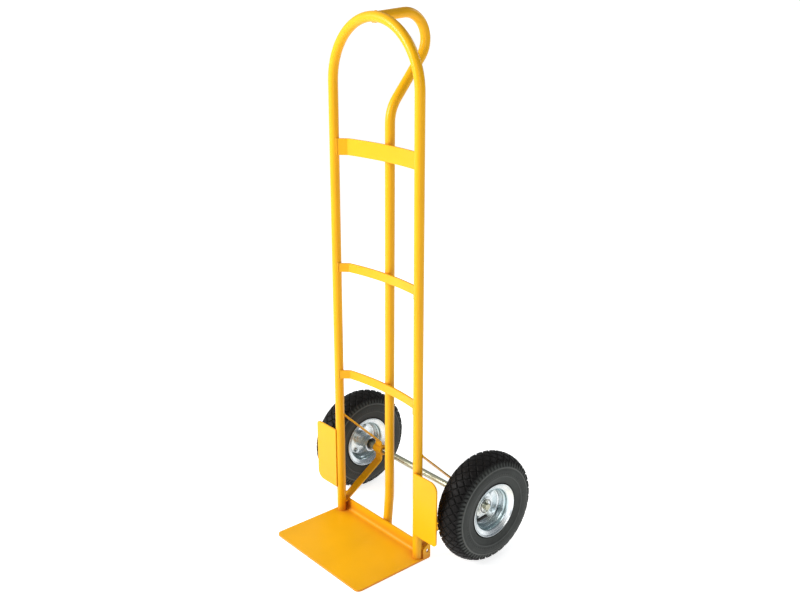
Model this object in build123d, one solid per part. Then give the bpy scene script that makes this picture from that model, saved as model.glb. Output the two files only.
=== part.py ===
from build123d import *
import os
from math import asin, cos, degrees, radians, sin, tan

# A P-handle hand truck: a welded tube frame on two pneumatic wheels.
# Millimetres. X runs to the right, Y to the back, Z up. The origin is on the ground,
# under the middle of the truck, which stands upright on its toe plate and wheels.

# ---------------------------------------------------------------- frame sizes
TUBE_OD = 22.0
TUBE_WALL = 2.0
LEG_SPACING = 285.0
HOOP_CENTRE_Z = 1065.0

PLATE_THICKNESS = 5.0
PLATE_WIDTH = 314.0
PLATE_REACH = 188.0
PLATE_BEND_RADIUS = 8.0
PLATE_CORNER_RADIUS = 12.0
LIP_FRONT = 14.0
LIP_HEIGHT = 33.0

BAR_THICKNESS = 5.0
BAR_BOW_RADIUS = 620.0
BAR_BEND_RADIUS = 8.0
BAR_HALF_SPAN = 113.0
BAR_END_ANGLE = 45.0
BAR_END_RUN = 26.0
CROSSBARS = {"top": (924.0, 37.0), "middle": (644.0, 20.5), "lower": (377.0, 20.5)}

GUARD_THICKNESS = 4.0
GUARD_INNER_X = 144.0
GUARD_OUTER_X = 219.0
GUARD_BOTTOM_Z = 72.0
GUARD_TOP_Z = 228.0
GUARD_LARGE_RADIUS = 20.0
GUARD_SMALL_RADIUS = 8.0
GUARD_SINK = 1.0

STRAP_THICKNESS = 3.0
STRAP_WIDTH = 22.0
STRAP_BEND_RADIUS = 10.0
BOSS_OD = 25.0
BOSS_INNER_X = 131.0
BOSS_OUTER_X = 160.0

GUSSET_THICKNESS = 3.5
GUSSET_BACK = 28.0
GUSSET_CORNER_RADIUS = 5.0
GUSSET_HOLE_DIAMETER = 8.5
GUSSET_HOLE = (19.0, 21.0)

# ------------------------------------------------------- axle and wheel sizes
AXLE_DIAMETER = 16.0
AXLE_BEHIND_LEGS = 129.0
AXLE_HALF_LENGTH = 241.0
WHEEL_TRACK = 456.0
TYRE_RADIUS = 130.0
TYRE_HALF_WIDTH = 37.5
RIM_SHEET = 2.0
HUB_OD = 38.6
HUB_INNER_END = -48.0
HUB_OUTER_END = 5.0
HUB_WAIST_OD = 34.0
HUB_WALL = 2.2
CUP_TAPER = 3.0
COLLAR_RADIUS = 21.2
COLLAR_WIDTH = 1.6
BEARING_OD = 35.0
BEARING_WIDTH = 11.0
BEARING_RECESS = 2.0
BEARING_PITCH_RADIUS = 12.75
BEARING_BALLS = 9
BALL_RADIUS = 2.1
BOLT_CIRCLE_RADIUS = 33.5
BOLT_COUNT = 4
FIRST_BOLT_ANGLE = 22.0
VENT_AFTER_BOLT = 14.5
BOLT_DIAMETER = 6.0
BOLT_HEX = 10.0
PIN_X = 236.5
PIN_WIRE_RADIUS = 0.9
RUNNING_CLEARANCE = 0.05
# The wheel's turn about the axle at rest, in degrees.
WHEEL_TURN = {"right": 29.0, "left": 42.5}

# ------------------------------------------------------------ derived places
TUBE_RADIUS = TUBE_OD / 2
LEG_X = LEG_SPACING / 2
# The truck is centred front to back between the plate's front edge and the tyres' backs.
LEG_Y = (PLATE_REACH - AXLE_BEHIND_LEGS - TYRE_RADIUS) / 2
AXLE_Y = LEG_Y + AXLE_BEHIND_LEGS
AXLE_Z = TYRE_RADIUS
AXLE_RADIUS = AXLE_DIAMETER / 2
BORE_RADIUS = AXLE_RADIUS + RUNNING_CLEARANCE
SIDES = {"right": 1, "left": -1}

# Handle and spine, in the middle plane: (distance behind the legs, height) of each corner.
SPINE_CORNERS = [(0.0, 1206.0), (216.5, 1225.0), (42.5, 1015.5), (37.0, 95.0), (29.3, 8.0)]
SPINE_BEND_RADII = [57.0, 80.0, 300.0]
# The strap that carries the axle boss, in the same terms, from the leg down to its foot.
STRAP_CORNERS = [(6.0, 268.0), (122.3, 155.5), (122.3, 104.5), (6.0, 28.5)]


def behind_legs(x, behind, z):
    """A point given by its distance behind the legs."""
    return (x, LEG_Y + behind, z)


def swept_round(path, radius):
    """A round bar along a path."""
    return sweep(Plane(origin=path @ 0, z_dir=path % 0) * Circle(radius), path=path)


def tube(path):
    """A frame tube along a path."""
    return swept_round(path, TUBE_RADIUS) - swept_round(path, TUBE_RADIUS - TUBE_WALL)


def flat_bar(path, width, thickness, width_direction):
    """A flat bar along a path, its width across the path's plane."""
    section = Plane(origin=path @ 0, x_dir=width_direction, z_dir=path % 0)
    return sweep(section * Rectangle(width, thickness), path=path)


def hoop_path():
    """Centre line of the hoop: up one leg, over the arch, down the other."""
    left = Line((-LEG_X, LEG_Y, PLATE_THICKNESS), (-LEG_X, LEG_Y, HOOP_CENTRE_Z))
    arch = ThreePointArc(left @ 1, (0, LEG_Y, HOOP_CENTRE_Z + LEG_X), (LEG_X, LEG_Y, HOOP_CENTRE_Z))
    right = Line(arch @ 1, (LEG_X, LEG_Y, PLATE_THICKNESS))
    return Wire([left, arch, right])


def spine_path():
    """Centre line of the handle and spine tube."""
    corners = [behind_legs(0, behind, z) for behind, z in SPINE_CORNERS]
    return FilletPolyline(*corners, radius=SPINE_BEND_RADII)


def toe_plate():
    """The bent plate, its front corners rounded, its lip shortened for the gussets."""
    middle = PLATE_THICKNESS / 2
    path = FilletPolyline(
        behind_legs(0, -PLATE_REACH, middle),
        behind_legs(0, LIP_FRONT + middle, middle),
        behind_legs(0, LIP_FRONT + middle, LIP_HEIGHT),
        radius=PLATE_BEND_RADIUS + middle,
    )
    plate = flat_bar(path, PLATE_WIDTH, PLATE_THICKNESS, (1, 0, 0))
    front_corners = plate.edges().filter_by(Axis.Z).group_by(Axis.Y)[0]
    plate = fillet(front_corners, PLATE_CORNER_RADIUS)
    bend_start = LIP_FRONT - PLATE_BEND_RADIUS
    for side in SIDES.values():
        notch = Box(GUSSET_THICKNESS, 60, 90, align=(Align.CENTER, Align.MIN, Align.CENTER))
        plate -= Pos(*behind_legs(side * (PLATE_WIDTH - GUSSET_THICKNESS) / 2, bend_start, 0)) * notch
    return plate


def crossbar(height_z, height):
    """A flat bar bowed back to the spine, its ends bent forward onto the legs."""
    sweep_angle = degrees(asin(BAR_HALF_SPAN / BAR_BOW_RADIUS))
    spine_front = LEG_Y + spine_behind(height_z) - TUBE_RADIUS
    middle = (0, spine_front - BAR_THICKNESS / 2, height_z)
    bow = JernArc(middle, (1, 0, 0), BAR_BOW_RADIUS, -sweep_angle)
    bend = JernArc(bow @ 1, bow % 1, BAR_BEND_RADIUS, sweep_angle - BAR_END_ANGLE)
    end = Line(bend @ 1, bend @ 1 + (bend % 1) * BAR_END_RUN)
    half = flat_bar(Wire([bow, bend, end]), height, BAR_THICKNESS, (0, 0, 1))
    return half + mirror(half, about=Plane.YZ)


def spine_behind(z):
    """How far the straight spine's centre is behind the legs at a height."""
    (top_behind, top_z), (low_behind, low_z) = SPINE_CORNERS[2:4]
    return low_behind + (top_behind - low_behind) * (z - low_z) / (top_z - low_z)


def wheel_guard(side):
    """A flat plate on the front of a leg, with one large and one small outer corner."""
    radii = [GUARD_SMALL_RADIUS, GUARD_LARGE_RADIUS]
    if side > 0:
        radii.reverse()
    outline = FilletPolyline(
        (GUARD_INNER_X, GUARD_TOP_Z),
        (GUARD_OUTER_X, GUARD_TOP_Z),
        (GUARD_OUTER_X, GUARD_BOTTOM_Z),
        (GUARD_INNER_X, GUARD_BOTTOM_Z),
        radius=[0.5] + radii + [0.5],
        close=True,
    )
    back = LEG_Y - TUBE_RADIUS + GUARD_SINK
    plate = extrude(Plane.XZ.offset(-back) * make_face(outline), GUARD_THICKNESS)
    return plate if side > 0 else mirror(plate, about=Plane.YZ)


def bracket_arms(side):
    """The upper and lower arms of a bent strap, parted by the axle boss between them."""
    corners = [behind_legs(side * LEG_X, behind, z) for behind, z in STRAP_CORNERS]
    path = FilletPolyline(*corners, radius=STRAP_BEND_RADIUS)
    strap = flat_bar(path, STRAP_WIDTH, STRAP_THICKNESS, (1, 0, 0))
    strap -= along_axle(side * BOSS_INNER_X, side * BOSS_OUTER_X, BOSS_OD / 2)
    lower, upper = strap.solids().sort_by(Axis.Z)
    return upper, lower


def along_axle(x_from, x_to, radius):
    """A cylinder on the axle line between two X places."""
    start = Plane(origin=(min(x_from, x_to), AXLE_Y, AXLE_Z), z_dir=(1, 0, 0))
    return extrude(start * Circle(radius), abs(x_to - x_from))


def ring_on_axle(x_from, x_to, radius, bore):
    """A bored cylinder on the axle line."""
    return along_axle(x_from, x_to, radius) - along_axle(x_from, x_to, bore)


def base_gusset(side):
    """An ear beside the strap's foot that closes the lip's end, with a hole."""
    front = LIP_FRONT - PLATE_BEND_RADIUS
    outline = FilletPolyline(
        (LEG_Y + front, 0),
        (LEG_Y + GUSSET_BACK, 0),
        (LEG_Y + GUSSET_BACK, strap_height(GUSSET_BACK)),
        (LEG_Y + front, strap_height(front)),
        radius=[0.1, GUSSET_CORNER_RADIUS, 2.0, 0.1],
        close=True,
    )
    inner_x = PLATE_WIDTH / 2 - GUSSET_THICKNESS
    ear = extrude(Plane.YZ.offset(inner_x) * make_face(outline), GUSSET_THICKNESS)
    hole_plane = Plane(origin=behind_legs(inner_x, *GUSSET_HOLE), z_dir=(1, 0, 0))
    ear -= extrude(hole_plane * Circle(GUSSET_HOLE_DIAMETER / 2), GUSSET_THICKNESS)
    return ear if side > 0 else mirror(ear, about=Plane.YZ)


def strap_height(behind):
    """The height of the strap's lower arm, in the middle of its thickness."""
    (bend_behind, bend_z), (foot_behind, foot_z) = STRAP_CORNERS[2:]
    return foot_z + (bend_z - foot_z) * (behind - foot_behind) / (bend_behind - foot_behind)


def axle():
    """The round bar, with a cross hole for a split pin near each end."""
    bar = along_axle(-AXLE_HALF_LENGTH, AXLE_HALF_LENGTH, AXLE_RADIUS)
    bar = chamfer(bar.edges().filter_by(GeomType.CIRCLE), 1.0)
    for side in SIDES.values():
        hole = Cylinder(2 * PIN_WIRE_RADIUS + 0.2, 3 * AXLE_DIAMETER)
        bar -= Pos(side * PIN_X, AXLE_Y, AXLE_Z) * hole
    return bar


def split_pin(side):
    """A split pin: two wires through the axle, an eye above, tails bent apart below."""
    top = AXLE_RADIUS + 1.5
    tail = -AXLE_RADIUS - 2.5
    wires = []
    for lean in (1, -1):
        offset = lean * (PIN_WIRE_RADIUS + 0.05)
        path = FilletPolyline(
            (0, offset, top + 7.0),
            (0, 4.0 * lean, top + 4.5),
            (0, offset, top),
            (0, offset, tail),
            (0, 6.0 * lean, tail - 5.0),
            radius=[1.5, 1.2, 1.5],
        )
        wires.append(Pos(side * PIN_X, AXLE_Y, AXLE_Z) * swept_round(path, PIN_WIRE_RADIUS))
    return wires


# --------------------------------------------------------------- wheel pieces
# A wheel is drawn about the X axis with its middle plane at X = 0 and its outer side
# towards +X, then mirrored for the left side, turned and set on the axle.


def rim_path():
    """Centre line of the outer rim half's sheet, as (axial, radial) corners."""
    return FilletPolyline(
        (RIM_SHEET / 2, HUB_OD / 2 + 1.0),
        (RIM_SHEET / 2, 45.0),
        (17.5, 46.0),
        (20.5, 49.8),
        (25.5, 49.8),
        (30.6, 61.2),
        (32.6, 63.3),
        radius=[5.0, 3.0, 2.5, 4.0, 2.0],
    )


def rim_half():
    """The outer rim half: a dished disc, a well wall, a bead seat and a flange."""
    band = make_face(rim_path().offset_2d(RIM_SHEET / 2).edges())
    half = revolve(band, Axis.X, 360)
    for index in range(BOLT_COUNT):
        bolt_angle = FIRST_BOLT_ANGLE + 360.0 / BOLT_COUNT * index
        vent_angle = bolt_angle + VENT_AFTER_BOLT
        half -= Rot(X=bolt_angle) * Pos(0, BOLT_CIRCLE_RADIUS, 0) * Rot(Y=90) * Cylinder(3.2, 12)
        half -= Rot(X=vent_angle) * Pos(0, BOLT_CIRCLE_RADIUS, 0) * Rot(Y=90) * Cylinder(3.0, 12)
    return half


VALVE_ROOT = (14.0, 44.0)
VALVE_LEAN = 23.0
VALVE_INNER_RUN = 16.5
VALVE_OUTER_RUN = 28.0


def valve_point(run):
    """A point on the valve's line, a distance from its root towards the hub."""
    axial = VALVE_ROOT[0] + run * sin(radians(VALVE_LEAN))
    radial = VALVE_ROOT[1] - run * cos(radians(VALVE_LEAN))
    return (axial, -radial, 0)


def on_valve(run_from, run_to, radius_from, radius_to=None):
    """A straight or tapered round piece along the valve's line."""
    start, end = Vector(valve_point(run_from)), Vector(valve_point(run_to))
    plane = Plane(origin=start, z_dir=end - start)
    length = (end - start).length
    if radius_to is None:
        return extrude(plane * Circle(radius_from), length)
    cone = Cone(radius_from, radius_to, length, align=(Align.CENTER, Align.CENTER, Align.MIN))
    return plane * cone


def tyre():
    """The tyre's open section: crown, shoulders, sidewalls and beads, then the inside."""
    half = TYRE_HALF_WIDTH
    crown = ThreePointArc((-22, 125), (0, TYRE_RADIUS), (22, 125))
    inside_crown = ThreePointArc((18, 116.5), (0, 121), (-18, 116.5))
    edges = [crown, inside_crown]
    for side in (1, -1):
        shoulder = ThreePointArc((22 * side, 125), (31.5 * side, 117.5), (36 * side, 106))
        sidewall = ThreePointArc((36 * side, 106), (half * side, 90), (29.5 * side, 63.5))
        heel = Polyline((29.5 * side, 63.5), (28.2 * side, 61), (23.8 * side, 51.2), (18.5 * side, 51.2))
        inside_low = ThreePointArc((18.5 * side, 51.2), (29.0 * side, 74), (31 * side, 92))
        inside_high = ThreePointArc((31 * side, 92), (27.5 * side, 107.5), (18 * side, 116.5))
        edges += [shoulder, sidewall, heel, inside_low, inside_high]
    return edges


def tyre_solid():
    """The tyre, turned about the axle line."""
    return revolve(make_face(Wire(Curve() + tyre())), Axis.X, 360)


def inner_tube():
    """The inflated tube inside the tyre."""
    centre = Pos(0, 87)
    section = centre * Ellipse(26.5, 28) - centre * Ellipse(24.5, 26)
    return revolve(section, Axis.X, 360)


def hub():
    """The hub tube, swaged out at each end into a cup for a bearing."""
    cup = HUB_OD / 2
    seat = BEARING_OD / 2 + 0.02
    depth = BEARING_RECESS + BEARING_WIDTH
    outline = Polyline(
        (HUB_INNER_END, seat),
        (HUB_INNER_END, cup),
        (HUB_INNER_END + depth, cup),
        (HUB_INNER_END + depth + CUP_TAPER, HUB_WAIST_OD / 2),
        (HUB_OUTER_END - depth - CUP_TAPER, HUB_WAIST_OD / 2),
        (HUB_OUTER_END - depth, cup),
        (HUB_OUTER_END, cup),
        (HUB_OUTER_END, seat),
        (HUB_OUTER_END - depth, seat),
        (HUB_OUTER_END - depth, HUB_WAIST_OD / 2 - HUB_WALL),
        (HUB_INNER_END + depth, HUB_WAIST_OD / 2 - HUB_WALL),
        (HUB_INNER_END + depth, seat),
        close=True,
    )
    body = revolve(make_face(outline), Axis.X, 360)
    for collar_start in (-RIM_SHEET - COLLAR_WIDTH, RIM_SHEET):
        body += disc_ring(collar_start, COLLAR_WIDTH, COLLAR_RADIUS, cup)
    return body


def bearing_starts():
    """The axial place of each bearing's inboard face."""
    return (HUB_INNER_END + BEARING_RECESS, HUB_OUTER_END - BEARING_RECESS - BEARING_WIDTH)


def disc_ring(start, width, outer, inner):
    """A ring about the X axis."""
    plane = Plane(origin=(start, 0, 0), z_dir=(1, 0, 0))
    return extrude(plane * (Circle(outer) - Circle(inner)), width)


OUTER_RACE_BORE = BEARING_PITCH_RADIUS + BALL_RADIUS + 0.05
INNER_RACE_RADIUS = BEARING_PITCH_RADIUS - BALL_RADIUS - 0.35


def outer_races():
    """The two bearings' outer races."""
    return [disc_ring(s, BEARING_WIDTH, BEARING_OD / 2, OUTER_RACE_BORE) for s in bearing_starts()]


def inner_races():
    """The two bearings' inner races."""
    bore = AXLE_RADIUS + 0.02
    return [disc_ring(s, BEARING_WIDTH, INNER_RACE_RADIUS, bore) for s in bearing_starts()]


def bearing_balls():
    """The balls of both bearings."""
    balls = []
    for start in bearing_starts():
        for index in range(BEARING_BALLS):
            place = Rot(X=360.0 / BEARING_BALLS * index) * Pos(start + BEARING_WIDTH / 2, BEARING_PITCH_RADIUS, 0)
            balls.append(place * Sphere(BALL_RADIUS))
    return balls


def bearing_seals():
    """The seal in the open face of each bearing."""
    inboard, outboard = bearing_starts()
    places = (inboard + 0.5, outboard + BEARING_WIDTH - 1.5)
    return [disc_ring(p, 1.0, OUTER_RACE_BORE - 0.02, INNER_RACE_RADIUS + 0.35) for p in places]


def hex_prism(start, length, bore=0.0):
    """A hexagon about the bolt's own axis, on the X axis."""
    plane = Plane(origin=(start, 0, 0), z_dir=(1, 0, 0))
    face = RegularPolygon(BOLT_HEX / 2, 6, major_radius=False)
    if bore:
        face -= Circle(bore)
    return extrude(plane * face, length)


def round_bolts(piece):
    """Copies of a piece at every rim bolt."""
    angles = [FIRST_BOLT_ANGLE + 360.0 / BOLT_COUNT * index for index in range(BOLT_COUNT)]
    return [Rot(X=angle) * Pos(0, BOLT_CIRCLE_RADIUS, 0) * piece for angle in angles]


def rim_bolts():
    """Hexagon bolts through both rim halves, heads on the outer side."""
    shank = extrude(Plane(origin=(-9, 0, 0), z_dir=(1, 0, 0)) * Circle(BOLT_DIAMETER / 2), 9 + RIM_SHEET)
    return round_bolts(shank + hex_prism(RIM_SHEET, 4.0))


def rim_nuts():
    """The bolts' nuts, on the inner side."""
    return round_bolts(hex_prism(-RIM_SHEET - 5.0, 5.0, BOLT_DIAMETER / 2 + 0.02))


def wheel_pieces():
    """Every piece of the right wheel, by name, as lists of solids."""
    outer = rim_half() - on_valve(-12, 12, 4.3)
    inner = mirror(rim_half(), about=Plane.YZ)
    stem = on_valve(-VALVE_INNER_RUN, VALVE_OUTER_RUN - 6.0, 4.1, 3.6)
    stem += on_valve(VALVE_OUTER_RUN - 6.0, VALVE_OUTER_RUN - 2.0, 2.6)
    cap = on_valve(VALVE_OUTER_RUN - 6.0, VALVE_OUTER_RUN, 3.8, 3.4)
    cap -= on_valve(VALVE_OUTER_RUN - 6.0, VALVE_OUTER_RUN - 2.0, 2.6)
    return {
        "tyre": [tyre_solid()],
        "inner_tube": [inner_tube()],
        "rim_outer": [outer],
        "rim_inner": [inner],
        "hub": [hub()],
        "bearing_outer_races": outer_races(),
        "bearing_balls": bearing_balls(),
        "bearing_seals": bearing_seals(),
        "rim_bolts": rim_bolts(),
        "rim_nuts": rim_nuts(),
        "valve_stem": [stem],
        "valve_cap": [cap],
    }


def on_axle(solid, side_name):
    """A wheel piece set on its side of the axle."""
    side = SIDES[side_name]
    if side < 0:
        solid = mirror(solid, about=Plane.YZ)
    return Pos(side * WHEEL_TRACK / 2, AXLE_Y, AXLE_Z) * Rot(X=WHEEL_TURN[side_name]) * solid


def save(name, solids):
    """Write one sub-part's solids to its own file."""
    bodies = [body for solid in solids for body in solid.solids()]
    shape = bodies[0] if len(bodies) == 1 else Compound(children=bodies)
    shape.label = name
    export_step(shape, os.path.join("parts", name + ".step"))


def frame_pieces():
    """Every piece of the frame, the axle and its fittings, by name."""
    hoop_line = hoop_path()
    spine_line = spine_path()
    hoop_round = swept_round(hoop_line, TUBE_RADIUS)
    spine_round = swept_round(spine_line, TUBE_RADIUS)
    plate = toe_plate()
    pieces = {
        "frame_hoop": [tube(hoop_line) - plate],
        "handle_spine": [tube(spine_line) - hoop_round - plate],
        "toe_plate": [plate],
    }
    for name, (height_z, height) in CROSSBARS.items():
        pieces["crossbar_" + name] = [crossbar(height_z, height) - hoop_round - spine_round]
    for name, side in SIDES.items():
        upper, lower = bracket_arms(side)
        pieces["wheel_guard_" + name] = [wheel_guard(side) - hoop_round]
        pieces["bracket_upper_" + name] = [upper - hoop_round]
        pieces["bracket_lower_" + name] = [lower - hoop_round - plate]
        pieces["axle_boss_" + name] = [
            ring_on_axle(side * BOSS_INNER_X, side * BOSS_OUTER_X, BOSS_OD / 2, BORE_RADIUS)
        ]
        pieces["base_gusset_" + name] = [base_gusset(side) - hoop_round - plate]
    pieces["axle"] = [axle()]
    pieces.update(axle_fittings())
    return pieces


def axle_fittings():
    """Spacers, washers, split pins and inner races, which stay with the frame."""
    inboard = WHEEL_TRACK / 2 + bearing_starts()[0]
    outboard = WHEEL_TRACK / 2 + bearing_starts()[1] + BEARING_WIDTH
    spacers, washers, pins, races = [], [], [], []
    for name, side in SIDES.items():
        spacers.append(ring_on_axle(side * BOSS_OUTER_X, side * inboard, INNER_RACE_RADIUS, BORE_RADIUS))
        washers.append(ring_on_axle(side * outboard, side * (outboard + 2.5), 14.0, BORE_RADIUS + 0.2))
        pins += split_pin(side)
        races += [on_axle(race, name) for race in inner_races()]
    return {
        "axle_spacers": spacers,
        "axle_washers": washers,
        "split_pins": pins,
        "bearing_inner_races": races,
    }


def main():
    """Write every sub-part."""
    os.makedirs("parts", exist_ok=True)
    for name, solids in frame_pieces().items():
        save(name, solids)
    for name, solids in wheel_pieces().items():
        for side_name in SIDES:
            save(name + "_" + side_name, [on_axle(solid, side_name) for solid in solids])


main()
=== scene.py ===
import math

import bmesh
import bpy
import numpy as np
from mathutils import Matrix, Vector


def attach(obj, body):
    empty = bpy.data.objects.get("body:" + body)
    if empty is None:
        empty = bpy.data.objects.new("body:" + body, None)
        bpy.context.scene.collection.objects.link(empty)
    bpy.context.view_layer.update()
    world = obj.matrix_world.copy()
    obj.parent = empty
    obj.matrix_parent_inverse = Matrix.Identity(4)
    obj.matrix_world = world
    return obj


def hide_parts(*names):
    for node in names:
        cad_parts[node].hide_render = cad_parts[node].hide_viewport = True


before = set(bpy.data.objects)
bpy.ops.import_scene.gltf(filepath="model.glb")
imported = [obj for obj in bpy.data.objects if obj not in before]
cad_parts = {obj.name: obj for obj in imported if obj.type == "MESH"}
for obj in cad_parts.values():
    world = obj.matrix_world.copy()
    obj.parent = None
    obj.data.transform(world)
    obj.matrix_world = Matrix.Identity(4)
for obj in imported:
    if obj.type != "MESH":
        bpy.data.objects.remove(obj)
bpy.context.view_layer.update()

MM = 0.001
SIDES = {"right": 1, "left": -1}
TRACK_HALF = 228 * MM
AXLE_Y = 93.5 * MM
AXLE_Z = 130 * MM
LEG_X = 142.5 * MM
LEG_Y = -35.5 * MM
TUBE_RADIUS = 11 * MM
BOSS_RADIUS = 12.5 * MM
HOOP_CENTRE_Z = 1065 * MM

# ------------------------------------------------------------------ materials


class Graph:
    """A material's node tree, with short calls to add and link nodes."""

    def __init__(self, name):
        self.material = bpy.data.materials.new(name)
        self.material.use_nodes = True
        self.tree = self.material.node_tree
        self.shader = self.tree.nodes["Principled BSDF"]

    def node(self, kind, inputs=None, **settings):
        """Add a node; inputs maps socket names or numbers to values or sockets."""
        made = self.tree.nodes.new(kind)
        for key, value in settings.items():
            setattr(made, key, value)
        for key, value in (inputs or {}).items():
            self.put(made.inputs[key], value)
        return made

    def put(self, socket, value):
        """Set a socket to a value, or link another socket into it."""
        if isinstance(value, bpy.types.NodeSocket):
            self.tree.links.new(value, socket)
        else:
            socket.default_value = value

    def shade(self, **inputs):
        """Set the shader's own sockets; an underscore in a name stands for a space."""
        for key, value in inputs.items():
            self.put(self.shader.inputs[key.replace("_", " ")], value)

    def place(self, stretch=(1, 1, 1), shift=(0, 0, 0)):
        """Object coordinates in metres, scaled along each axis and then shifted."""
        where = self.node("ShaderNodeTexCoord").outputs["Object"]
        inputs = {"Vector": where, "Location": shift, "Scale": stretch}
        return self.node("ShaderNodeMapping", inputs).outputs[0]

    def noise(self, where, scale, detail=3.0, roughness=0.5):
        """Smooth noise from 0 to 1; scale is features per metre."""
        inputs = {"Vector": where, "Scale": scale, "Detail": detail, "Roughness": roughness}
        return self.node("ShaderNodeTexNoise", inputs).outputs[0]

    def ramp(self, factor, stops):
        """A colour or value that changes along a factor; stops are (place, colour)."""
        made = self.node("ShaderNodeValToRGB", {"Fac": factor})
        band = made.color_ramp
        while len(band.elements) < len(stops):
            band.elements.new(0.5)
        for element, (place, colour) in zip(band.elements, stops):
            element.position = place
            element.color = colour if len(colour) == 4 else (*colour, 1)
        return made.outputs[0]

    def fit(self, value, low, high, new_low, new_high):
        """Map a value's range onto another."""
        inputs = {"Value": value, "From Min": low, "From Max": high}
        inputs.update({"To Min": new_low, "To Max": new_high})
        return self.node("ShaderNodeMapRange", inputs).outputs[0]

    def mix(self, factor, first, second):
        """A blend of two colours."""
        made = self.node("ShaderNodeMix", data_type="RGBA")
        self.put(made.inputs["Factor"], factor)
        for socket, value in ((made.inputs[6], first), (made.inputs[7], second)):
            self.put(socket, value if isinstance(value, bpy.types.NodeSocket) else (*value, 1))
        return made.outputs[2]

    def math(self, operation, first, second=0.0):
        """One arithmetic step."""
        return self.node("ShaderNodeMath", {0: first, 1: second}, operation=operation).outputs[0]

    def bump(self, height, distance, strength=1.0, under=None):
        """A bump from a height; distance in metres."""
        inputs = {"Height": height, "Distance": distance, "Strength": strength}
        if under is not None:
            inputs["Normal"] = under
        return self.node("ShaderNodeBump", inputs).outputs[0]

    def corners(self, distance):
        """How open a point is, from 0 in a crevice to 1 on an open face."""
        inputs = {"Distance": distance}
        return self.node("ShaderNodeAmbientOcclusion", inputs, samples=8).outputs["AO"]

    def about_axle(self, centre_x):
        """A place from a wheel's centre, its distance from the axle, and rings about the axle."""
        where = self.place(shift=(-centre_x, -AXLE_Y, -AXLE_Z))
        axes = self.node("ShaderNodeSeparateXYZ", {"Vector": where}).outputs
        across = self.node("ShaderNodeCombineXYZ", {"Y": axes["Y"], "Z": axes["Z"]}).outputs[0]
        length = self.node("ShaderNodeVectorMath", {0: across}, operation="LENGTH")
        radius = length.outputs["Value"]
        rings = self.node("ShaderNodeCombineXYZ", {"X": radius, "Y": axes["X"]}).outputs[0]
        return where, radius, rings

    def near_radius(self, radius, middle, core, edge, strength):
        """A ring mask: full within core of a radius, nothing past edge from it."""
        away = self.math("ABSOLUTE", self.math("SUBTRACT", radius, middle))
        return self.fit(away, core, edge, strength, 0.0)


PAINT_BRIGHT = (0.82, 0.405, 0.004)
PAINT_DEEP = (0.78, 0.38, 0.004)
# Painted shade: the orange that the paint turns to in its corners.
PAINT_SHADE_IN_CORNERS = (0.56, 0.15, 0.012)
PAINT_SCUFF = (0.70, 0.31, 0.012)


def yellow_paint():
    """Glossy yellow paint with painted orange shade in the corners, orange peel and faint handling
    marks.
    """
    g = Graph("yellow_paint")
    where = g.place()
    tone = g.noise(where, 9.0, 4.0)
    fresh = g.mix(g.fit(tone, 0.35, 0.65, 0.0, 1.0), PAINT_BRIGHT, PAINT_DEEP)
    # Painted shade: the paint turns orange and darker where it is closed in.
    closed = g.fit(g.corners(0.035), 0.30, 0.92, 1.0, 0.0)
    colour = g.mix(closed, fresh, PAINT_SHADE_IN_CORNERS)
    scuffs = g.fit(g.noise(where, 160.0, 6.0, 0.7), 0.66, 0.80, 0.0, 0.35)
    colour = g.mix(scuffs, colour, PAINT_SCUFF)
    gloss = g.fit(g.noise(where, 40.0, 5.0), 0.3, 0.7, 0.31, 0.40)
    peel = g.bump(g.noise(where, 700.0, 2.0), 0.00012, 0.35)
    runs = g.bump(g.noise(where, 26.0, 2.0), 0.0006, 0.25, peel)
    g.shade(Base_Color=colour, Roughness=gloss, Normal=runs)
    g.shade(Specular_IOR_Level=0.2, Coat_Weight=0.07, Coat_Roughness=0.12)
    return g.material


ZINC_LOW = (0.62, 0.68, 0.71)
ZINC_HIGH = (0.90, 0.92, 0.93)
ZINC_WARM = (0.80, 0.76, 0.62)
# Painted shade and reflection: the darker teal given to the dish wall.
ZINC_WALL_SHADE = (0.36, 0.52, 0.54)
# Painted shade: the dark grey put in the zinc's corners.
ZINC_SHADE_IN_CORNERS = (0.26, 0.30, 0.30)
WALL_INNER_RADIUS = 43 * MM
WALL_OUTER_RADIUS = 53 * MM


def spun_zinc(name, centre_x):
    """Zinc-plated pressed steel: spun rings, cloudy tints, the dish wall painted a darker teal as
    painted shade and reflection, and painted shade in the corners.
    """
    g = Graph(name)
    where, radius, rings = g.about_axle(centre_x)
    spun = g.noise(rings, 1100.0, 4.0, 0.6)
    cloud = g.noise(where, 34.0, 5.0, 0.6)
    colour = g.ramp(cloud, [(0.3, ZINC_LOW), (0.7, ZINC_HIGH)])
    warm = g.fit(g.noise(where, 15.0, 2.0), 0.52, 0.72, 0.0, 0.55)
    colour = g.mix(warm, colour, ZINC_WARM)
    # Painted shade and reflection: the dish wall is coloured a darker teal by radius.
    over_wall = g.fit(radius, WALL_INNER_RADIUS, WALL_OUTER_RADIUS, 0.0, 1.0)
    wall_shade_mask = g.math("PINGPONG", over_wall, 0.5)
    colour = g.mix(g.math("MULTIPLY", wall_shade_mask, 1.5), colour, ZINC_WALL_SHADE)
    # Painted shade: the zinc turns dark grey where it is closed in.
    zinc_corner_shade = g.fit(g.corners(0.012), 0.3, 0.9, 0.75, 0.0)
    colour = g.mix(zinc_corner_shade, colour, ZINC_SHADE_IN_CORNERS)
    grain = g.fit(spun, 0.3, 0.7, 0.2, 0.34)
    lines = g.bump(spun, 0.00006, 0.35)
    dents = g.bump(cloud, 0.0012, 0.25, lines)
    g.shade(Base_Color=colour, Metallic=1.0, Roughness=grain, Normal=dents)
    return g.material


AXLE_TINT_LOW = (0.36, 0.37, 0.27)
AXLE_TINT_HIGH = (0.56, 0.55, 0.42)
AXLE_STREAK = (0.42, 0.40, 0.30)


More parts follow.
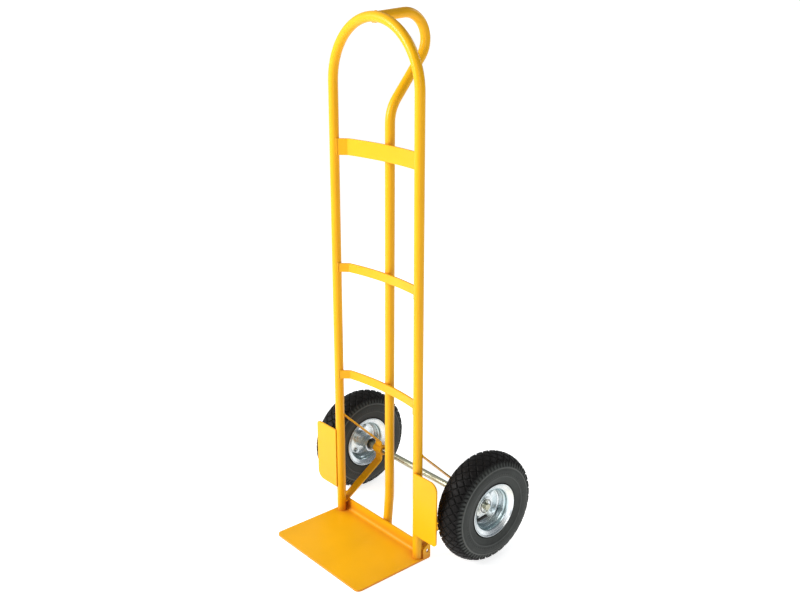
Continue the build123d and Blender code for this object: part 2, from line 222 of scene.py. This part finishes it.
def drawn_zinc():
    """Zinc-plated drawn bar with a faint yellow tint and fine lines along X."""
    g = Graph("axle_zinc")
    streaks = g.noise(g.place(stretch=(0.04, 1, 1)), 900.0, 4.0, 0.6)
    cloud = g.noise(g.place(), 22.0, 4.0)
    colour = g.ramp(cloud, [(0.3, AXLE_TINT_LOW), (0.7, AXLE_TINT_HIGH)])
    colour = g.mix(g.fit(streaks, 0.55, 0.75, 0.0, 0.4), colour, AXLE_STREAK)
    g.shade(Base_Color=colour, Metallic=1.0, Roughness=g.fit(streaks, 0.3, 0.7, 0.22, 0.38))
    g.shade(Normal=g.bump(streaks, 0.00005, 0.4))
    return g.material


# Painted shade: the tread is given a far darker colour than the same rubber on the sidewalls.
TREAD_DARK = (0.0022, 0.0017, 0.0016)
TREAD_LIGHT = (0.0050, 0.0038, 0.0035)
# Sidewall rubber, its grey lightened in part as painted light.
FLANK_DARK = (0.032, 0.034, 0.032)
FLANK_LIGHT = (0.058, 0.062, 0.057)
FLANK_STREAK = (0.010, 0.010, 0.010)
# Painted highlights: the colours given to the two raised rings.
OUTER_RING_HIGHLIGHT = (0.13, 0.135, 0.125)
INNER_RING_HIGHLIGHT = (0.10, 0.105, 0.10)
# Painted shade: the near black put in the tread's grooves and notches.
TYRE_SHADE_IN_GROOVES = (0.004, 0.0035, 0.003)
GREY_ENDS = 113 * MM
BLACK_STARTS = 119 * MM
OUTER_RING_RADIUS = 105 * MM
INNER_RING_RADIUS = 84.2 * MM


def tyre_rubber(name, centre_x):
    """Tyre rubber: the tread far darker than the sidewalls as painted shade, the sidewalls' grey
    partly their own and partly painted light, the two raised rings lighter as a painted highlight,
    and painted shade in the grooves.
    """
    g = Graph(name)
    where, radius, rings = g.about_axle(centre_x)
    cloud = g.noise(where, 22.0, 6.0, 0.65)
    tread = g.ramp(cloud, [(0.3, TREAD_DARK), (0.72, TREAD_LIGHT)])
    flank = g.ramp(cloud, [(0.3, FLANK_DARK), (0.72, FLANK_LIGHT)])
    # Painted shade on the tread and painted light on the sidewalls, split by radius.
    colour = g.mix(g.fit(radius, GREY_ENDS, BLACK_STARTS, 1.0, 0.0), tread, flank)
    turned = g.noise(rings, 420.0, 3.0, 0.6)
    colour = g.mix(g.fit(turned, 0.5, 0.75, 0.0, 0.35), colour, FLANK_STREAK)
    # Painted highlight: the two raised rings are made lighter.
    outer_ring = g.near_radius(radius, OUTER_RING_RADIUS, 0.0006, 0.0022, 0.8)
    colour = g.mix(outer_ring, colour, OUTER_RING_HIGHLIGHT)
    inner_ring = g.near_radius(radius, INNER_RING_RADIUS, 0.0004, 0.0018, 0.6)
    colour = g.mix(inner_ring, colour, INNER_RING_HIGHLIGHT)
    # Painted shade: near black where the rubber is closed in, in grooves and notches.
    tyre_groove_shade = g.fit(g.corners(0.006), 0.45, 0.97, 0.9, 0.0)
    colour = g.mix(tyre_groove_shade, colour, TYRE_SHADE_IN_GROOVES)
    skin = g.noise(where, 900.0, 3.0, 0.6)
    g.shade(Base_Color=colour, Roughness=g.fit(cloud, 0.3, 0.7, 0.46, 0.62))
    g.shade(Normal=g.bump(skin, 0.00012, 0.4), Specular_IOR_Level=0.17)
    return g.material


# Painted shade: the darker grey put in the rubber's corners.
RUBBER_SHADE_IN_CORNERS = (0.012, 0.011, 0.010)


def rubber(name, dark, light, rough, grain=900.0):
    """Moulded rubber or plastic from dark to light grey, with a fine skin grain and painted shade
    in its corners.
    """
    g = Graph(name)
    where = g.place()
    cloud = g.noise(where, 18.0, 6.0, 0.65)
    colour = g.ramp(cloud, [(0.3, (dark,) * 3), (0.72, (light,) * 3)])
    # Painted shade: darker where the surface is closed in.
    rubber_corner_shade = g.fit(g.corners(0.006), 0.4, 0.95, 0.55, 0.0)
    colour = g.mix(rubber_corner_shade, colour, RUBBER_SHADE_IN_CORNERS)
    skin = g.noise(where, grain, 3.0, 0.6)
    g.shade(Base_Color=colour, Roughness=g.fit(cloud, 0.3, 0.7, *rough))
    g.shade(Normal=g.bump(skin, 0.00012, 0.4), Specular_IOR_Level=0.4)
    return g.material


def bearing_steel():
    """Ground bearing steel with a light oil film."""
    g = Graph("bearing_steel")
    where = g.place()
    oil = g.noise(where, 160.0, 5.0)
    colour = g.ramp(oil, [(0.35, (0.36, 0.36, 0.35)), (0.7, (0.58, 0.59, 0.60))])
    g.shade(Base_Color=colour, Metallic=1.0, Roughness=g.fit(oil, 0.3, 0.7, 0.18, 0.4))
    g.shade(Normal=g.bump(g.noise(where, 1500.0, 2.0), 0.00003, 0.3))
    return g.material


FLOOR_GLOW = 0.76


def floor_white():
    """A plain pale floor that glows enough to meet the white backdrop."""
    g = Graph("floor_white")
    speck = g.noise(g.place(), 3.0, 2.0)
    g.shade(Base_Color=g.ramp(speck, [(0.3, (0.66,) * 3), (0.7, (0.68,) * 3)]))
    g.shade(Roughness=0.95, Specular_IOR_Level=0.0)
    g.shade(Emission_Color=(1, 1, 1, 1), Emission_Strength=FLOOR_GLOW)
    return g.material


PAINT = yellow_paint()
AXLE_ZINC = drawn_zinc()
BEARING = bearing_steel()
TYRE = {
    name: tyre_rubber("tyre_rubber_" + name, side * TRACK_HALF)
    for name, side in SIDES.items()
}
TUBE = rubber("tube_rubber", 0.012, 0.020, (0.35, 0.5))
VALVE = rubber("valve_rubber", 0.008, 0.014, (0.35, 0.5), 1500.0)
SEAL = rubber("seal_rubber", 0.010, 0.018, (0.4, 0.55), 1800.0)
CAP = rubber("cap_plastic", 0.008, 0.012, (0.3, 0.42), 2200.0)
ZINC = {
    name: spun_zinc("bright_zinc_" + name, side * TRACK_HALF)
    for name, side in SIDES.items()
}
WHEEL_LOOKS = {
    "inner_tube": TUBE,
    "bearing_outer_races": BEARING,
    "bearing_balls": BEARING,
    "bearing_seals": SEAL,
    "valve_stem": VALVE,
    "valve_cap": CAP,
}
FRAME_LOOKS = {
    "axle": AXLE_ZINC,
    "axle_spacers": AXLE_ZINC,
    "split_pins": AXLE_ZINC,
    "bearing_inner_races": BEARING,
}


def look_of(node):
    """The material of a CAD node."""
    if node in FRAME_LOOKS:
        return FRAME_LOOKS[node]
    if node == "axle_washers":
        return ZINC["right"]
    for side in SIDES:
        piece = node.removesuffix("_" + side)
        if piece == node:
            continue
        if piece in WHEEL_LOOKS:
            return WHEEL_LOOKS[piece]
        if piece.startswith(("rim_", "hub")):
            return ZINC[side]
        if piece == "tyre":
            return TYRE[side]
    return PAINT


for node_name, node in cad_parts.items():
    node.data.materials.clear()
    node.data.materials.append(look_of(node_name))

# ----------------------------------------------------------------- mesh tools


def new_piece(name, vertices, faces, material, body):
    """A smooth mesh piece that rides on a body."""
    mesh = bpy.data.meshes.new(name)
    mesh.from_pydata([tuple(v) for v in vertices], [], [tuple(f) for f in faces])
    mesh.validate()
    mesh.materials.append(material)
    mesh.shade_smooth()
    piece = bpy.data.objects.new(name, mesh)
    bpy.context.scene.collection.objects.link(piece)
    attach(piece, body)
    return piece


def grid_faces(rows, columns):
    """Quads of a grid that closes on itself both ways."""
    row, column = np.meshgrid(np.arange(rows), np.arange(columns), indexing="ij")
    next_row, next_column = (row + 1) % rows, (column + 1) % columns
    corners = (row * columns + column, next_row * columns + column)
    far_corners = (next_row * columns + next_column, row * columns + next_column)
    return np.stack(corners + far_corners, axis=-1).reshape(-1, 4)


# ---------------------------------------------------------------------- tyres

TREAD_REPEATS = 36
TURN_STEPS = 1080
TREAD_HALF_ARC = 36.0
SHOULDER_END_ARC = 48.0
# Half widths and soft edges of the tread's cuts, in repeats of the pattern.
GROOVE = (0.085, 0.035)
SIPE = (0.045, 0.03)
SIPE_LENGTH = (0.33, 0.05)
GROOVES_ACROSS = 3
GROOVE_DEPTH = 2.6
SIPE_SHARE = 0.45
NOTCH_DEPTH = 3.0
STUD_HEIGHT = 1.1
SIDE_MARKS = 72
SIDE_MARK_RADIUS = 90.5
SIDE_MARK_HEIGHT = 0.8
SIDE_BAND = (80.0, 99.0)
SIDE_BAND_HEIGHT = 0.5
# Each ring's middle radius, half width and height, in mm.
SIDEWALL_RINGS = ((105.0, 0.9, 1.0), (84.0, 0.9, 0.8), (68.0, 1.6, 1.0))
TREAD_START = math.radians(4.0)


def arc_points(start, middle, end, count):
    """Points along the circle through three points, without the last one."""
    (ax, ay), (bx, by), (cx, cy) = start, middle, end
    d = 2 * (ax * (by - cy) + bx * (cy - ay) + cx * (ay - by))
    a2, b2, c2 = ax * ax + ay * ay, bx * bx + by * by, cx * cx + cy * cy
    ox = (a2 * (by - cy) + b2 * (cy - ay) + c2 * (ay - by)) / d
    oy = (a2 * (cx - bx) + b2 * (ax - cx) + c2 * (bx - ax)) / d
    first = math.atan2(ay - oy, ax - ox)
    last = math.atan2(cy - oy, cx - ox)
    via = math.atan2(by - oy, bx - ox)
    turn = (last - first) % math.tau
    if (via - first) % math.tau > turn:
        turn -= math.tau
    radius = math.hypot(ax - ox, ay - oy)
    angles = first + turn * np.arange(count) / count
    return np.stack([ox + radius * np.cos(angles), oy + radius * np.sin(angles)], axis=1)


def line_points(start, end, count):
    """Points along a line, without the last one."""
    t = np.arange(count)[:, None] / count
    return np.array(start) * (1 - t) + np.array(end) * t


# Corners of the tyre's section, as (axial, radial) in mm.
CROWN = (0, 130)
CROWN_EDGE = (22, 125)
FLANK_TOP = (36, 106)
BEAD_TOP = (29.5, 63.5)
BEAD_SEAT = (28.2, 61)
BEAD_HEEL = (23.8, 51.2)
BEAD_TOE = (18.5, 51.2)
INSIDE_FLANK = (31, 92)
INSIDE_SHOULDER = (18, 116.5)
INSIDE_CROWN = (0, 121)
SECTION_MIDDLE = (0, 88)
BEAD_END_RADIUS = 64


def tyre_section():
    """The tyre's closed section as (axial, radial) in mm, and how many points are outside."""
    outer_half = [
        arc_points(CROWN, (11.3, 128.7), CROWN_EDGE, 30),
        arc_points(CROWN_EDGE, (31.5, 117.5), FLANK_TOP, 30),
        arc_points(FLANK_TOP, (37.5, 90), BEAD_TOP, 44),
        line_points(BEAD_TOP, BEAD_SEAT, 3),
        line_points(BEAD_SEAT, BEAD_HEEL, 4),
        line_points(BEAD_HEEL, BEAD_TOE, 3),
    ]
    outside = np.concatenate(outer_half)
    inner_half = [
        arc_points(BEAD_TOE, (29.0, 74), INSIDE_FLANK, 10),
        arc_points(INSIDE_FLANK, (27.5, 107.5), INSIDE_SHOULDER, 7),
        arc_points(INSIDE_SHOULDER, (9.3, 119.9), INSIDE_CROWN, 5),
    ]
    inside = np.concatenate(inner_half)
    flip = np.array([-1, 1])
    inside_back = np.concatenate([[INSIDE_CROWN], (inside * flip)[:0:-1]])
    outside_back = np.concatenate([[BEAD_TOE * flip], (outside * flip)[:0:-1]])
    return np.concatenate([outside, inside, inside_back, outside_back]), len(outside)


def soft_step(value, low, high):
    """0 below low, 1 above high, smooth between."""
    t = np.clip((value - low) / (high - low), 0, 1)
    return t * t * (3 - 2 * t)


def line_gap(phase, width, edge):
    """1 in the middle of a groove at each whole number of phase, 0 outside it."""
    away = np.abs(phase - np.round(phase))
    return 1 - soft_step(away, width - edge, width + edge)


def tread_depth(turn, arc):
    """How deep the tread is cut, in mm, at a turn (in repeats) and an arc from the crown."""
    across = arc / (2 * TREAD_HALF_ARC)
    rising = line_gap(turn + GROOVES_ACROSS * across, *GROOVE)
    falling = line_gap(turn - GROOVES_ACROSS * across, *GROOVE)
    in_block = line_gap(GROOVES_ACROSS * across + 0.25 * np.sign(arc), *SIPE_LENGTH)
    sipe = line_gap(2 * turn + 0.5, *SIPE) * in_block
    crown = np.maximum(np.maximum(rising, falling), SIPE_SHARE * sipe)
    on_crown = 1 - soft_step(np.abs(arc), TREAD_HALF_ARC - 2.5, TREAD_HALF_ARC)
    shoulder_run = SHOULDER_END_ARC - TREAD_HALF_ARC + 3
    along = np.clip((np.abs(arc) - TREAD_HALF_ARC + 3) / shoulder_run, 0, 1)
    half_width = 0.33 * (1 - along) + 0.03
    away = np.abs(2 * turn - np.round(2 * turn))
    notch = 1 - soft_step(away, half_width - 0.07, half_width + 0.07)
    notch = notch * (1 - soft_step(along, 0.75, 1.0))
    on_shoulder = soft_step(np.abs(arc), TREAD_HALF_ARC - 3, TREAD_HALF_ARC)
    return np.maximum(GROOVE_DEPTH * crown * on_crown, NOTCH_DEPTH * notch * on_shoulder)


def nubs(turn, across, half_turn, half_across):
    """Rounded studs at each whole number of turn, 1 at their tops."""
    away = np.hypot((turn - np.round(turn)) / half_turn, across / half_across)
    return 1 - soft_step(away, 0.4, 1.0)


def side_marks(turn, radius):
    """Two arcs of small plain studs on the sidewall, in mm, at a turn from 0 to 1."""
    in_arc = (turn % 0.5) < 0.30
    marks = nubs(SIDE_MARKS * turn, radius - SIDE_MARK_RADIUS, 0.30, 1.9)
    return SIDE_MARK_HEIGHT * marks * in_arc


def sidewall_relief(radius):
    """Raised rings and a raised band on the sidewall, in mm, by radius."""
    relief = 0.0
    for middle, half, height in SIDEWALL_RINGS:
        relief = relief + height * (1 - soft_step(np.abs(radius - middle), half * 0.5, half * 1.5))
    low, high = SIDE_BAND
    band = soft_step(radius, low - 1, low + 1) * (1 - soft_step(radius, high - 1, high + 1))
    return relief + SIDE_BAND_HEIGHT * band


def tyre_mesh(side_name, side):
    """A tyre with its tread, in place of the plain CAD one."""
    section, outside_count = tyre_section()
    count = len(section)
    steps = np.linalg.norm(np.diff(section[:outside_count], axis=0), axis=1)
    arc = np.zeros(count)
    arc[:outside_count] = np.concatenate([[0], np.cumsum(steps)])
    arc[-outside_count + 1:] = -arc[1:outside_count][::-1]
    is_outside = np.zeros(count, bool)
    is_outside[:outside_count] = True
    is_outside[-outside_count + 1:] = True
    tangent = np.roll(section, -1, axis=0) - np.roll(section, 1, axis=0)
    normal = np.stack([-tangent[:, 1], tangent[:, 0]], axis=1)
    normal *= -np.sign((normal * (section - SECTION_MIDDLE)).sum(axis=1).mean())
    normal /= np.linalg.norm(normal, axis=1)[:, None]
    outward = np.where(is_outside[:, None], -normal, normal)
    outward *= np.sign((outward[0] * (0, 1)).sum())
    turns = np.arange(TURN_STEPS) / TURN_STEPS
    cut = tread_depth(turns[:, None] * TREAD_REPEATS, arc[None, :]) * is_outside
    flank = is_outside * (np.abs(arc) > SHOULDER_END_ARC)
    raised = sidewall_relief(section[:, 1])[None, :]
    raised = raised + side_marks(turns[:, None], section[None, :, 1])
    raised = raised * (flank * (section[:, 1] > BEAD_END_RADIUS))[None, :]
    past_tread = np.abs(arc)[None, :] - TREAD_HALF_ARC - 1.5
    studs = nubs(turns[:, None] * TREAD_REPEATS + 0.5, past_tread, 0.09, 2.0)
    move = raised + STUD_HEIGHT * studs * is_outside - cut
    axial = section[None, :, 0] + outward[None, :, 0] * move
    radial = section[None, :, 1] + outward[None, :, 1] * move
    angle = turns[:, None] * math.tau + TREAD_START
    x = side * axial * MM + side * TRACK_HALF
    y = AXLE_Y + radial * np.cos(angle) * MM
    z = AXLE_Z + radial * np.sin(angle) * MM
    vertices = np.stack([x, y, z], axis=-1).reshape(-1, 3)
    faces = grid_faces(TURN_STEPS, count)
    if side > 0:
        faces = faces[:, ::-1]
    name = "treaded_tyre_" + side_name
    return new_piece(name, vertices, faces, TYRE[side_name], "wheel_" + side_name)


for side_name, side_sign in SIDES.items():
    tread = tyre_mesh(side_name, side_sign)
    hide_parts("tyre_" + side_name)

# ---------------------------------------------------------------- weld beads

BEAD_STEP = 1.1 * MM
BEAD_SIDES = 10
CROSSBAR_BEAD = 1.6 * MM
HANDLE_BEAD = 2.0 * MM
ARM_TO_LEG_BEAD = 1.7 * MM
ARM_TO_BOSS_BEAD = 1.6 * MM


def seams(node_name, distance, reach=0.25 * MM):
    """The outlines where a node meets a surface, as lists of points in order."""
    work = bmesh.new()
    work.from_mesh(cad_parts[node_name].data)
    bmesh.ops.remove_doubles(work, verts=work.verts, dist=0.01 * MM)
    touching = {v for v in work.verts if abs(distance(v.co)) < reach}
    links = {}
    for edge in work.edges:
        if not touching.issuperset(edge.verts):
            continue
        on_surface = [touching.issuperset(face.verts) for face in edge.link_faces]
        if len(on_surface) == 2 and on_surface[0] != on_surface[1]:
            first, second = edge.verts
            links.setdefault(first, []).append(second)
            links.setdefault(second, []).append(first)
    chains = []
    while links:
        ends = [v for v, others in links.items() if len(others) == 1]
        here = min(ends or links, key=lambda v: tuple(v.co))
        chain = [here.co.copy()]
        while here in links:
            following = links[here].pop()
            if not links[here]:
                del links[here]
            links[following].remove(here)
            if not links[following]:
                del links[following]
            chain.append(following.co.copy())
            here = following
        chains.append(chain)
    work.free()
    return chains


def even_points(points, step):
    """Points at even steps along a line of points."""
    line = np.array([tuple(p) for p in points])
    lengths = np.concatenate([[0], np.cumsum(np.linalg.norm(np.diff(line, axis=0), axis=1))])
    count = max(int(lengths[-1] / step), 3)
    places = np.linspace(0, lengths[-1], count + 1)
    return np.stack([np.interp(places, lengths, line[:, i]) for i in range(3)], axis=1)


def bead(points, radius, seed):
    """The vertices and faces of a rippled weld bead along a line, closed at its ends."""
    line = even_points(points, BEAD_STEP)
    draw = np.random.default_rng(seed)
    count = len(line)
    tangent = np.gradient(line, axis=0)
    tangent /= np.linalg.norm(tangent, axis=1)[:, None] + 1e-12
    helper = np.where(np.abs(tangent[:, 2:3]) > 0.9, (1.0, 0.0, 0.0), (0.0, 0.0, 1.0))
    across = np.cross(tangent, helper)
    across /= np.linalg.norm(across, axis=1)[:, None] + 1e-12
    upward = np.cross(across, tangent)
    ripple = 1 + 0.13 * np.sin(np.arange(count) * 2.1) + draw.uniform(-0.07, 0.07, count)
    ripple *= np.clip(np.minimum(np.arange(count), np.arange(count)[::-1]) / 2 + 0.4, 0, 1)
    angles = np.arange(BEAD_SIDES) * math.tau / BEAD_SIDES
    ring = across[:, None] * np.cos(angles)[None, :, None]
    ring = ring + upward[:, None] * np.sin(angles)[None, :, None]
    vertices = (line[:, None] + ring * (radius * ripple)[:, None, None]).reshape(-1, 3)
    faces = []
    for i in range(count - 1):
        for j in range(BEAD_SIDES):
            k = (j + 1) % BEAD_SIDES
            low, high = i * BEAD_SIDES, (i + 1) * BEAD_SIDES
            faces.append((low + j, low + k, high + k, high + j))
    faces.append(tuple(range(BEAD_SIDES))[::-1])
    faces.append(tuple((count - 1) * BEAD_SIDES + j for j in range(BEAD_SIDES)))
    return vertices, faces


def weld(name, chains, radius):
    """One painted piece of weld beads along several lines."""
    vertices, faces = [], []
    for number, chain in enumerate(chains):
        points, quads = bead(chain, radius, number)
        faces += [tuple(i + len(vertices) for i in quad) for quad in quads]
        vertices += list(points)
    if vertices:
        new_piece(name, vertices, faces, PAINT, "frame")


def leg_distance(point):
    """How far a point is outside the nearer leg's or the hoop's surface."""
    if point.z > HOOP_CENTRE_Z:
        around = math.hypot(point.x, point.z - HOOP_CENTRE_Z) - LEG_X
        return math.hypot(around, point.y - LEG_Y) - TUBE_RADIUS
    return math.hypot(abs(point.x) - LEG_X, point.y - LEG_Y) - TUBE_RADIUS


def boss_distance(point):
    """How far a point is outside an axle boss's surface."""
    return math.hypot(point.y - AXLE_Y, point.z - AXLE_Z) - BOSS_RADIUS


for bar in ("top", "middle", "lower"):
    weld(f"weld_crossbar_{bar}", seams("crossbar_" + bar, leg_distance), CROSSBAR_BEAD)
weld("weld_handle", seams("handle_spine", leg_distance), HANDLE_BEAD)
for side_name in SIDES:
    for arm in ("upper", "lower"):
        node_name = f"bracket_{arm}_{side_name}"
        weld(f"weld_{arm}_leg_{side_name}", seams(node_name, leg_distance), ARM_TO_LEG_BEAD)
        weld(f"weld_{arm}_boss_{side_name}", seams(node_name, boss_distance), ARM_TO_BOSS_BEAD)

# ----------------------------------------------------------- floor and lights

CAMERA_AZIMUTH = 49.17
CAMERA_ELEVATION = 18.54
CAMERA_PLACE = (1.6193, -1.3642, 1.2999)
CAMERA_LENS = 44.5
FLOOR_HALF = 14.0
BRIGHT_SIDE = (-0.75, -0.55, 0.35)
ROOM_DIM = (0.16, 0.18, 0.20, 1)
ROOM_BRIGHT = (0.66, 0.67, 0.65, 1)
BACKDROP = (1.1, 1.1, 1.1, 1)


def add_floor():
    """A wide pale floor."""
    mesh = bpy.data.meshes.new("floor")
    h = FLOOR_HALF
    mesh.from_pydata([(-h, -h, 0), (h, -h, 0), (h, h, 0), (-h, h, 0)], [], [(0, 1, 2, 3)])
    mesh.materials.append(floor_white())
    floor = bpy.data.objects.new("floor", mesh)
    bpy.context.scene.collection.objects.link(floor)


def add_light(name, place, aim_height, size, power):
    """A soft square light that faces a point above the middle of the floor."""
    data = bpy.data.lights.new(name, "AREA")
    data.shape = "SQUARE"
    data.size = size
    data.energy = power
    light = bpy.data.objects.new(name, data)
    light.location = place
    facing = Vector((0, 0, aim_height)) - Vector(place)
    light.rotation_euler = facing.to_track_quat("-Z", "Y").to_euler()
    bpy.context.scene.collection.objects.link(light)


def add_world():
    """A white backdrop behind a room that is bright on the left and dim on the right."""
    world = bpy.data.worlds.new("studio")
    world.use_nodes = True
    tree = world.node_tree
    background = tree.nodes["Background"]
    where = tree.nodes.new("ShaderNodeTexCoord").outputs["Generated"]
    brighter = tree.nodes.new("ShaderNodeVectorMath")
    brighter.operation = "DOT_PRODUCT"
    brighter.inputs[1].default_value = BRIGHT_SIDE
    tree.links.new(where, brighter.inputs[0])
    room = tree.nodes.new("ShaderNodeValToRGB")
    tree.links.new(brighter.outputs["Value"], room.inputs[0])
    low, high = room.color_ramp.elements
    low.position, low.color = 0.0, ROOM_DIM
    high.position, high.color = 0.75, ROOM_BRIGHT
    seen = tree.nodes.new("ShaderNodeLightPath").outputs["Is Camera Ray"]
    blend = tree.nodes.new("ShaderNodeMix")
    blend.data_type = "RGBA"
    tree.links.new(seen, blend.inputs[0])
    tree.links.new(room.outputs[0], blend.inputs[6])
    blend.inputs[7].default_value = BACKDROP
    tree.links.new(blend.outputs[2], background.inputs["Color"])
    bpy.context.scene.world = world


def add_camera():
    """The camera, as the photograph was taken."""
    data = bpy.data.cameras.new("camera")
    data.lens = CAMERA_LENS
    data.sensor_width = 36.0
    data.clip_start = 0.05
    data.clip_end = 100.0
    camera = bpy.data.objects.new("camera", data)
    camera.location = CAMERA_PLACE
    camera.rotation_euler = (math.radians(90 - CAMERA_ELEVATION), 0, math.radians(CAMERA_AZIMUTH))
    bpy.context.scene.collection.objects.link(camera)
    bpy.context.scene.camera = camera


add_floor()
add_world()
add_light("key", (-1.25, -2.35, 1.85), 0.65, 1.3, 100)
add_light("fill", (2.6, -1.2, 1.6), 0.4, 1.6, 20)
add_light("back", (0.2, 2.6, 2.4), 0.6, 1.2, 20)
add_camera()
bpy.context.scene.view_settings.view_transform = "Standard"
